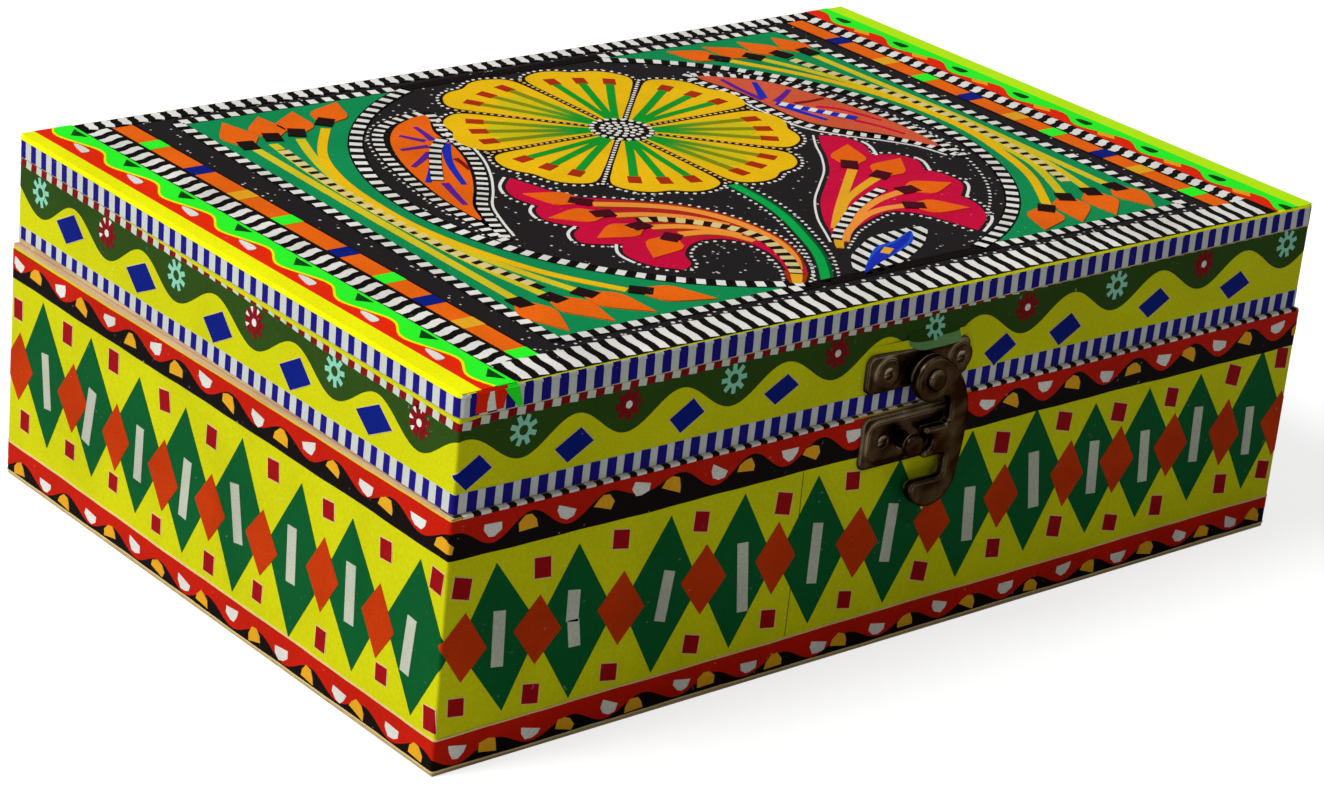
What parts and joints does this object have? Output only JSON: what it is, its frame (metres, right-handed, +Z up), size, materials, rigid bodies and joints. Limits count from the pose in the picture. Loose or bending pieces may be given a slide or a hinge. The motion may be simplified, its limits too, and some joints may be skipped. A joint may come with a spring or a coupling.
{
  "type": "storage box",
  "caption": "Rectangular wooden storage box with a hinged lid, wrapped in bright cut-film ornament and closed by a swinging metal hook latch.",
  "frame": {"origin": "centre of the underside of the box, on the surface it stands on", "axes": "+X along the front to the right, +Y to the back where the hinges are, +Z up"},
  "size_m": [0.3052, 0.2155, 0.1016],
  "materials": {
    "wood": "bare, sanded",
    "body_film": "satin adhesive film",
    "lid_film": "satin adhesive film",
    "stripe_tape": "satin striped tape",
    "top_film": "satin adhesive film with fine glitter",
    "bronze": "antique bronze with worn edges",
    "steel": "plain"
  },
  "bodies": {
    "box": {"body_front_wall": "wood", "body_back_wall": "wood", "body_left_wall": "wood", "body_right_wall": "wood", "bottom_panel": "wood", "corner_pins": "steel", "bottom_pins": "steel", "body_wrap": "body_film", "keeper_plate": "bronze", "keeper_stud": "bronze", "keeper_screws": "bronze", "left_hinge_box_leaf": "bronze", "right_hinge_box_leaf": "bronze", "left_hinge_pin": "bronze", "right_hinge_pin": "bronze", "hinge_box_screws": "bronze"},
    "lid": {"lid_front_rail": "wood", "lid_back_rail": "wood", "lid_left_rail": "wood", "lid_right_rail": "wood", "lid_top_board": "wood", "lid_corner_pins": "steel", "board_pins": "steel", "lid_wrap": "lid_film", "board_edge_tape": "stripe_tape", "top_film": "top_film", "lid_front_fold": "stripe_tape", "latch_plate": "bronze", "latch_rivet": "bronze", "latch_screws": "bronze", "left_hinge_lid_leaf": "bronze", "right_hinge_lid_leaf": "bronze", "hinge_lid_screws": "bronze"},
    "hook": {"latch_hook": "bronze"}
  },
  "joints": [
    {"name": "lid_hinge", "type": "hinge", "parent": "box", "child": "lid", "pos_m": [0, 0.10435, 0.06975], "axis": [-1, 0, 0], "range_deg": [0, 180]},
    {"name": "hook_swing", "type": "hinge", "parent": "lid", "child": "hook", "pos_m": [0.001, -0.10365, 0.078], "axis": [0, -1, 0], "range_deg": [-20, 120]}
  ]
}
